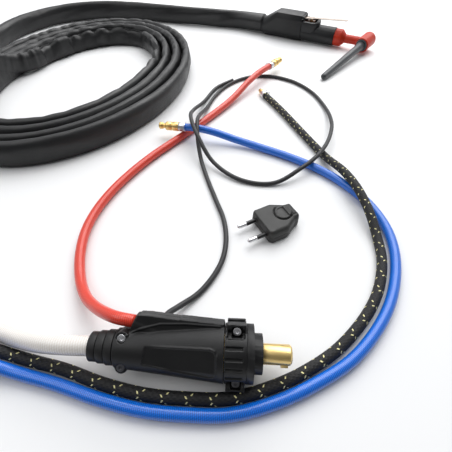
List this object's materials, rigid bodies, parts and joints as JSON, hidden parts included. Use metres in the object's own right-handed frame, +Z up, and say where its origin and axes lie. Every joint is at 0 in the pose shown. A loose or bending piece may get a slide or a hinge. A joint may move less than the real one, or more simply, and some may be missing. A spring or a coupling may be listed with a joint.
{
  "type": "tig torch",
  "caption": "Water-cooled welding torch with a covered hose coil, bayonet power plug, water and gas hoses, control lead and loose mains plug.",
  "frame": {"origin": "on the bench, midway between the handset and the power plug: bottom centre of the box of the handset, power plug and mains plug", "axes": "+Z up from the bench, +Y from the power plug towards the handset, +X along the power plug's pin to within a few degrees"},
  "size_m": [0.6537, 0.7305, 0.0647],
  "materials": {
    "black_plastic": "satin moulded nylon",
    "housing_rubber": "hard matt rubber",
    "shrink_sleeve": "smooth heat-shrink tube",
    "red_silicone": "satin silicone rubber",
    "cap_grey": "dark grey phenolic",
    "liner_teal": "grey-teal insulator",
    "white_gasket": "white gasket",
    "black_rubber": "rubber",
    "brass": "turned brass",
    "copper": "drawn copper",
    "zinc_steel": "bright zinc-plated steel",
    "spring_steel": "thin sprung leaf",
    "switch_brown": "brown phenolic",
    "wire_red": "wire insulation",
    "cover_leatherette": "black coated fabric",
    "clear_hose": "translucent ribbed hose",
    "blue_hose": "glossy reinforced hose",
    "red_hose": "glossy reinforced hose",
    "gas_braid": "black textile braid with yellow tracers",
    "cable_grey": "dark grey cable sheath",
    "mains_plastic": "dark grey moulded plastic"
  },
  "bodies": {
    "bench_set": {"handle_shell": "black_plastic", "rear_adaptor": "black_plastic", "inner_cable": "copper", "power_union": "brass", "front_insert": "black_plastic", "neck_tube": "copper", "head_core": "brass", "head_boot": "red_silicone", "cup_gasket": "white_gasket", "cap_liner": "liner_teal", "sleeve": "shrink_sleeve", "switch_base": "black_plastic", "switch_hood": "black_plastic", "micro_switch": "switch_brown", "switch_wires": "wire_red", "lever_pin": "zinc_steel", "rear_boot": "housing_rubber", "swage_ring": "zinc_steel", "water_block": "brass", "branch_clip": "zinc_steel", "housing_upper": "housing_rubber", "housing_lower": "housing_rubber", "housing_screws": "zinc_steel", "housing_nuts": "zinc_steel", "grip_ring": "housing_rubber", "front_collar": "housing_rubber", "pin_nut": "brass", "power_pin": "brass", "cable_gland": "black_rubber", "red_coupler": "brass", "red_clamp": "zinc_steel", "blue_coupler": "brass", "blue_clamp": "zinc_steel", "gas_nipple": "brass", "gas_clamp": "zinc_steel", "cover_band": "black_rubber", "cover_lead": "cover_leatherette", "cover_coil": "cover_leatherette", "cover_tail": "cover_leatherette", "power_hose": "clear_hose", "blue_hose": "blue_hose", "gas_hose": "gas_braid", "red_hose": "red_hose", "control_cable": "cable_grey"},
    "cap_seal_body": {"cap_seal": "black_rubber"},
    "cap_body": {"back_cap": "cap_grey"},
    "lever_body": {"lever_blade": "spring_steel"},
    "plunger_body": {"switch_plunger": "brass"},
    "mains_plug": {"mains_upper": "mains_plastic", "mains_lower": "mains_plastic", "mains_pins": "zinc_steel", "mains_sleeves": "black_rubber", "cord_clamp": "mains_plastic", "mains_screw": "zinc_steel"}
  },
  "joints": [
    {"name": "cap_turn", "type": "hinge", "parent": "cap_seal_body", "child": "cap_body", "pos_m": [0.14241, 0.21199, 0.01401], "axis": [-0.6416, -0.7637, -0.0716], "range_deg": [0, 1801]},
    {"name": "cap_travel", "type": "slide", "parent": "bench_set", "child": "cap_seal_body", "axis": [-0.6416, -0.7637, -0.0716], "range_m": [0, 0.00625]},
    {"name": "lever_press", "type": "hinge", "parent": "bench_set", "child": "lever_body", "pos_m": [0.05259, 0.27486, 0.03674], "axis": [0.4682, 0.8806, 0.0732], "range_deg": [0, 4], "stiffness_Nm_per_rad": 0.6, "springref_deg": -1.15},
    {"name": "plunger_travel", "type": "slide", "parent": "bench_set", "child": "plunger_body", "axis": [0.0344, 0.0646, -0.9973], "range_m": [0, 0.000977], "stiffness_N_per_m": 60, "springref_m": -0.0005},
    {"name": "mains_lift", "type": "slide", "parent": "bench_set", "child": "mains_plug", "axis": [0, 0, 1], "range_m": [0, 0.1]}
  ],
  "couplings": [
    {"joint": "cap_turn", "follows": "cap_travel", "rad_per_m": 5026.5},
    {"joint": "lever_press", "follows": "plunger_travel", "rad_per_m": 71.429}
  ]
}
